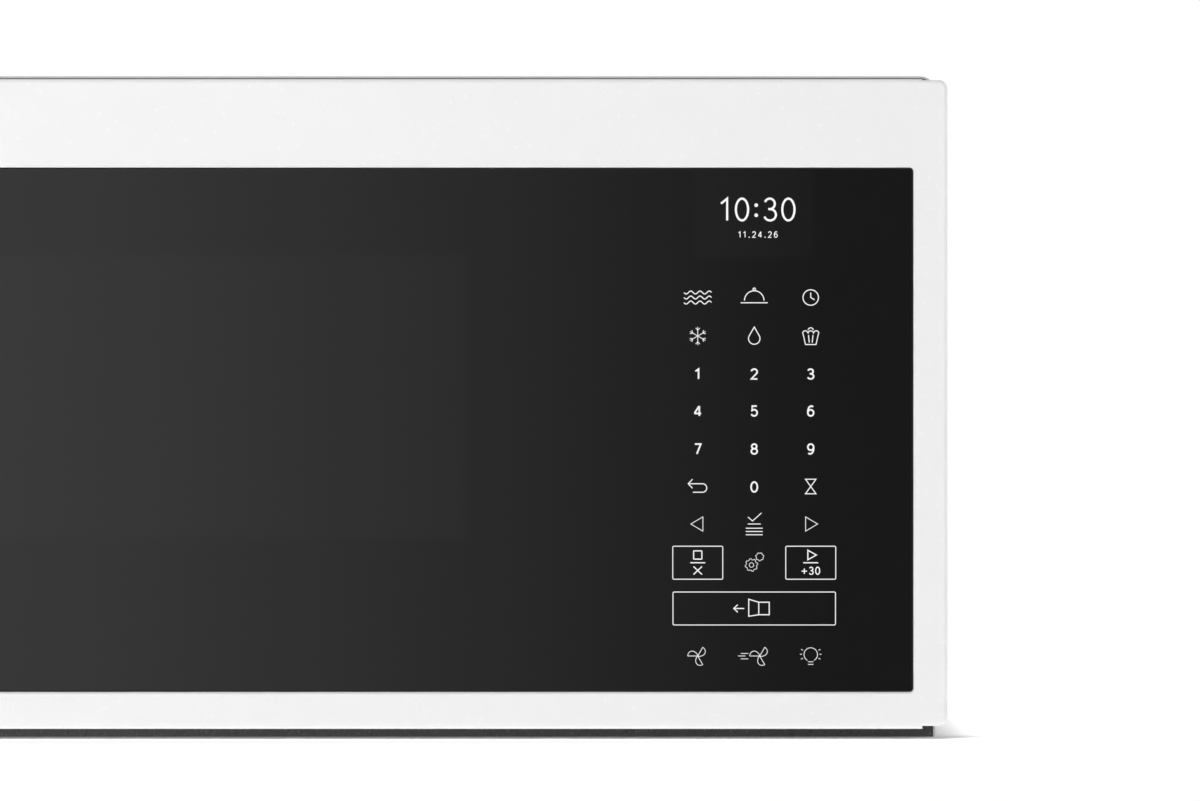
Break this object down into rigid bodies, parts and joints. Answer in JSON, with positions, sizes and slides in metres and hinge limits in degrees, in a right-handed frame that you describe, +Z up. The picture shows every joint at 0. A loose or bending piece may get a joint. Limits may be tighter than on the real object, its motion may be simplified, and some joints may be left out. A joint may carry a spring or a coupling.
{
  "type": "over the range microwave",
  "caption": "Low-profile over the range microwave hood with a full-width black glass touch-control door in a white frame, turntable, blower and underside grease filters.",
  "frame": {"origin": "middle of the rear face, where the appliance meets the wall", "axes": "+X right as seen from the front, +Y from the front to the wall, +Z up"},
  "size_m": [0.76, 0.467, 0.266],
  "materials": {
    "white_paint": "smooth white enamel, semi-gloss",
    "case_paint": "white powder coat, fine texture",
    "dark_paint": "dark grey powder coat, fine texture",
    "galvanised": "zinc-coated sheet",
    "cavity_enamel": "grey cavity enamel",
    "black_glass": "gloss black back-printed glass",
    "clear_glass": "clear glass",
    "tray_glass": "clear tempered glass",
    "frosted_glass": "frosted glass",
    "black_plastic": "moulded, fine satin",
    "grey_plastic": "moulded, satin",
    "white_plastic": "moulded, satin",
    "mica": "pressed mica sheet",
    "copper_core": "laminated steel, varnished windings",
    "can_aluminium": "plain drawn aluminium",
    "filter_mesh": "aluminium frame and mesh",
    "board_green": "circuit board laminate",
    "screw_steel": "zinc-plated steel",
    "carbon": "activated carbon in a grey frame",
    "screen_metal": "black perforated sheet",
    "spring_steel": "spring steel",
    "bush_plastic": "acetal, natural"
  },
  "bodies": {
    "root": {"outer_case": "case_paint", "base_plate": "dark_paint", "back_panel": "galvanised", "front_frame": "cavity_enamel", "cavity": "cavity_enamel", "waveguide_cover": "mica", "waveguide": "galvanised", "magnetron": "can_aluminium", "transformer": "copper_core", "hv_capacitor": "can_aluminium", "line_filter_board": "board_green", "fan_shroud": "galvanised", "cooling_fan_motor": "copper_core", "blower_housing": "galvanised", "blower_motor": "galvanised", "air_duct": "galvanised", "vent_grille": "white_plastic", "charcoal_filter": "carbon", "cord_grommet": "black_plastic", "cabinet_bolt_brackets": "galvanised", "interlock_bracket": "grey_plastic", "interlock_switches": "black_plastic", "release_solenoid": "galvanised", "turntable_motor": "galvanised", "cavity_lamp": "galvanised", "cooktop_lamp": "white_plastic", "lamp_lens": "frosted_glass", "upper_hinge": "screw_steel", "lower_hinge": "screw_steel", "case_screws": "screw_steel"},
    "door": {"door_frame": "white_paint", "door_glass": "black_glass", "door_carrier": "black_plastic", "hinge_bushes": "bush_plastic", "choke_panel": "dark_paint", "choke_cover": "grey_plastic", "window_screen": "screen_metal", "inner_window": "clear_glass", "touch_panel": "board_green", "display_module": "black_plastic", "control_board": "board_green", "control_cover": "grey_plastic", "door_screws": "screw_steel"},
    "door_latch": {"door_latch": "white_plastic", "latch_spring": "spring_steel"},
    "release_lever": {"release_lever": "screw_steel"},
    "solenoid_plunger": {"solenoid_plunger": "screw_steel"},
    "primary_button": {"primary_switch_button": "grey_plastic"},
    "secondary_button": {"secondary_switch_button": "grey_plastic"},
    "monitor_button": {"monitor_switch_button": "grey_plastic"},
    "turntable_drive": {"turntable_coupler": "white_plastic"},
    "glass_tray": {"glass_tray": "tray_glass"},
    "roller_ring": {"roller_ring": "white_plastic"},
    "roller_front": {"ring_roller_front": "white_plastic"},
    "roller_left": {"ring_roller_left": "white_plastic"},
    "roller_right": {"ring_roller_right": "white_plastic"},
    "blower_wheel": {"blower_wheel": "galvanised"},
    "cooling_fan": {"cooling_fan": "white_plastic"},
    "grease_filter_left": {"grease_filter_left": "filter_mesh"},
    "grease_filter_right": {"grease_filter_right": "filter_mesh"}
  },
  "joints": [
    {"name": "door_hinge", "type": "hinge", "parent": "root", "child": "door", "pos_m": [-0.371, -0.442, 0], "axis": [0, 0, 1], "range_deg": [-110, 0]},
    {"name": "latch_slide", "type": "slide", "parent": "door", "child": "door_latch", "axis": [0, 0, 1], "range_m": [0, 0.0048], "stiffness_N_per_m": 150, "deforming": ["latch_spring"]},
    {"name": "lever_pivot", "type": "hinge", "parent": "root", "child": "release_lever", "pos_m": [0.3515, -0.388, 0.052], "axis": [1, 0, 0], "range_deg": [-13.5, 0]},
    {"name": "plunger_slide", "type": "slide", "parent": "root", "child": "solenoid_plunger", "axis": [0, 0, 1], "range_m": [-0.005, 0]},
    {"name": "primary_button_slide", "type": "slide", "parent": "root", "child": "primary_button", "axis": [0, 1, 0], "range_m": [0, 0.003], "stiffness_N_per_m": 250},
    {"name": "secondary_button_slide", "type": "slide", "parent": "root", "child": "secondary_button", "axis": [0, 1, 0], "range_m": [0, 0.003], "stiffness_N_per_m": 250},
    {"name": "monitor_button_slide", "type": "slide", "parent": "root", "child": "monitor_button", "axis": [0, 1, 0], "range_m": [0, 0.003], "stiffness_N_per_m": 250},
    {"name": "turntable_spin", "type": "hinge", "parent": "root", "child": "turntable_drive", "pos_m": [-0.07, -0.2317, -0.07], "axis": [0, 0, 1], "continuous": true},
    {"name": "tray_lift", "type": "slide", "parent": "turntable_drive", "child": "glass_tray", "axis": [0, 0, 1], "range_m": [0, 0.04]},
    {"name": "ring_spin", "type": "hinge", "parent": "root", "child": "roller_ring", "pos_m": [-0.07, -0.2317, -0.0657], "axis": [0, 0, 1], "continuous": true},
    {"name": "roller_front_spin", "type": "hinge", "parent": "roller_ring", "child": "roller_front", "pos_m": [-0.07, -0.3317, -0.0657], "axis": [0, -1, 0], "continuous": true},
    {"name": "roller_left_spin", "type": "hinge", "parent": "roller_ring", "child": "roller_left", "pos_m": [-0.1566, -0.1817, -0.0657], "axis": [-0.866, 0.5, 0], "continuous": true},
    {"name": "roller_right_spin", "type": "hinge", "parent": "roller_ring", "child": "roller_right", "pos_m": [0.0166, -0.1817, -0.0657], "axis": [0.866, 0.5, 0], "continuous": true},
    {"name": "blower_spin", "type": "hinge", "parent": "root", "child": "blower_wheel", "pos_m": [0.29, -0.089, 0.062], "axis": [0, 1, 0], "continuous": true},
    {"name": "cooling_fan_spin", "type": "hinge", "parent": "root", "child": "cooling_fan", "pos_m": [0.29, -0.213, 0.005], "axis": [0, 1, 0], "continuous": true},
    {"name": "grease_filter_left_tilt", "type": "hinge", "parent": "root", "child": "grease_filter_left", "pos_m": [-0.19, -0.056, -0.13], "axis": [1, 0, 0], "range_deg": [0, 70]},
    {"name": "grease_filter_right_tilt", "type": "hinge", "parent": "root", "child": "grease_filter_right", "pos_m": [0.19, -0.056, -0.13], "axis": [1, 0, 0], "range_deg": [0, 70]}
  ],
  "couplings": [
    {"joint": "lever_pivot", "follows": "latch_slide", "rad_per_m": -48.78},
    {"joint": "plunger_slide", "follows": "latch_slide", "ratio": -0.976},
    {"joint": "ring_spin", "follows": "turntable_spin", "ratio": 0.5},
    {"joint": "roller_front_spin", "follows": "turntable_spin", "ratio": -7.1429},
    {"joint": "roller_left_spin", "follows": "turntable_spin", "ratio": -7.1429},
    {"joint": "roller_right_spin", "follows": "turntable_spin", "ratio": -7.1429}
  ]
}
